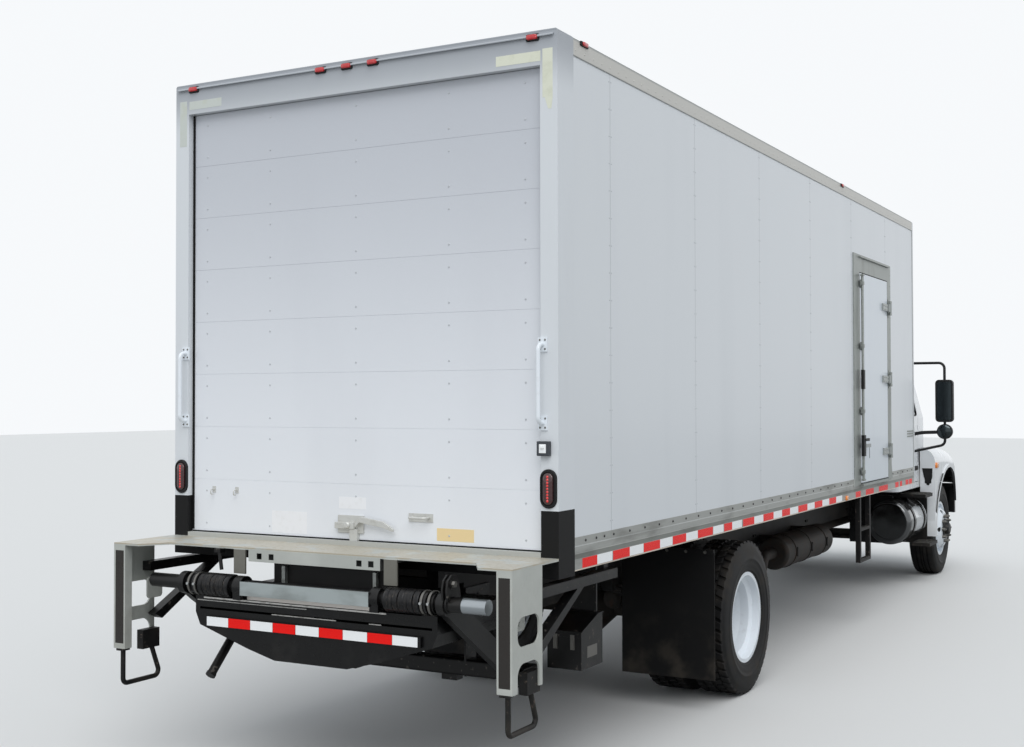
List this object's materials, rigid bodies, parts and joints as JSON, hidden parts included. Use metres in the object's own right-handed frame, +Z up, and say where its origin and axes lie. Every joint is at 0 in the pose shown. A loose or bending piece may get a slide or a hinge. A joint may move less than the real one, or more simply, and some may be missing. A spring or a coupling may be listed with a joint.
{
  "type": "box truck",
  "caption": "Two-axle box truck with conventional cab, long van body, roll-up rear door, curbside door and a stowed tuck-under liftgate.",
  "frame": {"origin": "on the ground, at the centre of the overall box", "axes": "+X forward, +Y to the vehicle's left, +Z up"},
  "size_m": [11.24, 2.86, 3.75],
  "materials": {
    "white_paint": "gloss",
    "panel_white": "satin",
    "rail_metal": "satin",
    "frame_black": "satin",
    "tread_rubber": "matte",
    "flap_rubber": "matte",
    "rim_white": "gloss",
    "cast_iron": "rough",
    "tank_metal": "polished",
    "deck_steel": "worn",
    "trim_plastic": "matte",
    "seat_fabric": "woven",
    "clear_glass": "clear",
    "lamp_red": "gloss",
    "lamp_clear": "clear",
    "door_white": "gloss",
    "floor_wood": "oiled",
    "chrome_trim": "polished"
  },
  "bodies": {
    "chassis": {"frame_rails": "frame_black", "engine_block": "cast_iron", "driveline": "cast_iron", "radiator": "cast_iron", "front_axle": "cast_iron", "springs": "frame_black", "rear_axle": "cast_iron", "fuel_tank": "tank_metal", "battery_box": "frame_black", "air_tanks": "frame_black", "exhaust": "tank_metal", "front_bumper": "frame_black", "cab_shell": "white_paint", "cab_interior": "trim_plastic", "seats": "seat_fabric", "cab_glass": "clear_glass", "load_floor": "floor_wood", "long_sills": "frame_black", "crossmembers": "frame_black", "side_wall_left": "panel_white", "side_wall_right": "panel_white", "front_wall": "panel_white", "roof": "panel_white", "body_rails": "rail_metal", "rear_frame": "white_paint", "roll_up_door": "door_white", "side_door_frame": "deck_steel", "mudflaps": "flap_rubber", "steps": "frame_black", "grab_handles": "white_paint", "lamps": "lamp_red", "gate_deck": "deck_steel", "gate_frame": "frame_black"},
    "knuckle_left": {"knuckle_left": "cast_iron"},
    "knuckle_right": {"knuckle_right": "cast_iron"},
    "tie_rod": {"tie_rod": "cast_iron"},
    "hood": {"hood": "white_paint", "grille": "chrome_trim", "headlamps": "lamp_clear"},
    "cab_door_left": {"cab_door_left": "white_paint", "door_glass_left": "clear_glass", "mirror_left": "trim_plastic"},
    "cab_door_right": {"cab_door_right": "white_paint", "door_glass_right": "clear_glass", "mirror_right": "trim_plastic"},
    "side_door": {"side_door": "door_white"},
    "gate_arms": {"gate_arms": "frame_black"},
    "gate_platform": {"gate_platform": "frame_black"},
    "front_wheel_left": {"tyre_front_left": "tread_rubber", "rim_front_left": "rim_white", "hub_front_left": "cast_iron"},
    "rear_wheels_left": {"tyres_rear_left": "tread_rubber", "rims_rear_left": "rim_white", "hub_rear_left": "cast_iron"},
    "front_wheel_right": {"tyre_front_right": "tread_rubber", "rim_front_right": "rim_white", "hub_front_right": "cast_iron"},
    "rear_wheels_right": {"tyres_rear_right": "tread_rubber", "rims_rear_right": "rim_white", "hub_rear_right": "cast_iron"}
  },
  "joints": [
    {"name": "steer_left", "type": "hinge", "parent": "chassis", "child": "knuckle_left", "pos_m": [4.6, 0.79, 0.507], "axis": [0, 0, 1], "range_deg": [-35, 35]},
    {"name": "steer_right", "type": "hinge", "parent": "chassis", "child": "knuckle_right", "pos_m": [4.6, -0.79, 0.507], "axis": [0, 0, 1], "range_deg": [-35, 35]},
    {"name": "tie_rod_pivot", "type": "hinge", "parent": "knuckle_left", "child": "tie_rod", "pos_m": [4.41, 0.79, 0.375], "axis": [0, 0, 1], "range_deg": [-35, 35]},
    {"name": "front_wheel_left_spin", "type": "hinge", "parent": "knuckle_left", "child": "front_wheel_left", "pos_m": [4.6, 0.985, 0.507], "axis": [0, 1, 0], "continuous": true},
    {"name": "front_wheel_right_spin", "type": "hinge", "parent": "knuckle_right", "child": "front_wheel_right", "pos_m": [4.6, -0.985, 0.507], "axis": [0, 1, 0], "continuous": true},
    {"name": "rear_wheels_left_spin", "type": "hinge", "parent": "chassis", "child": "rear_wheels_left", "pos_m": [-2.3, 0.89, 0.507], "axis": [0, 1, 0], "continuous": true},
    {"name": "rear_wheels_right_spin", "type": "hinge", "parent": "chassis", "child": "rear_wheels_right", "pos_m": [-2.3, -0.89, 0.507], "axis": [0, 1, 0], "continuous": true},
    {"name": "cab_door_left_hinge", "type": "hinge", "parent": "chassis", "child": "cab_door_left", "pos_m": [3.87, 1.009, 1.4], "axis": [0, 0, -1], "range_deg": [0, 68]},
    {"name": "cab_door_right_hinge", "type": "hinge", "parent": "chassis", "child": "cab_door_right", "pos_m": [3.87, -1.009, 1.4], "axis": [0, 0, 1], "range_deg": [0, 68]},
    {"name": "hood_tilt", "type": "hinge", "parent": "chassis", "child": "hood", "pos_m": [5.475, 0, 0.915], "axis": [0, 1, 0], "range_deg": [0, 60]},
    {"name": "side_door_hinge", "type": "hinge", "parent": "chassis", "child": "side_door", "pos_m": [1.614, -1.245, 2.1475], "axis": [0, 0, 1], "range_deg": [0, 160]},
    {"name": "gate_lift", "type": "hinge", "parent": "chassis", "child": "gate_arms", "pos_m": [-4.8, 0, 0.53], "axis": [0, -1, 0], "range_deg": [0, 42]},
    {"name": "gate_level", "type": "hinge", "parent": "gate_arms", "child": "gate_platform", "pos_m": [-5.51, 0, 1.002], "axis": [0, -1, 0], "range_deg": [-42, 0]}
  ],
  "couplings": [
    {"joint": "steer_right", "follows": "steer_left", "ratio": 1},
    {"joint": "tie_rod_pivot", "follows": "steer_left", "ratio": -1},
    {"joint": "gate_level", "follows": "gate_lift", "ratio": -1}
  ]
}
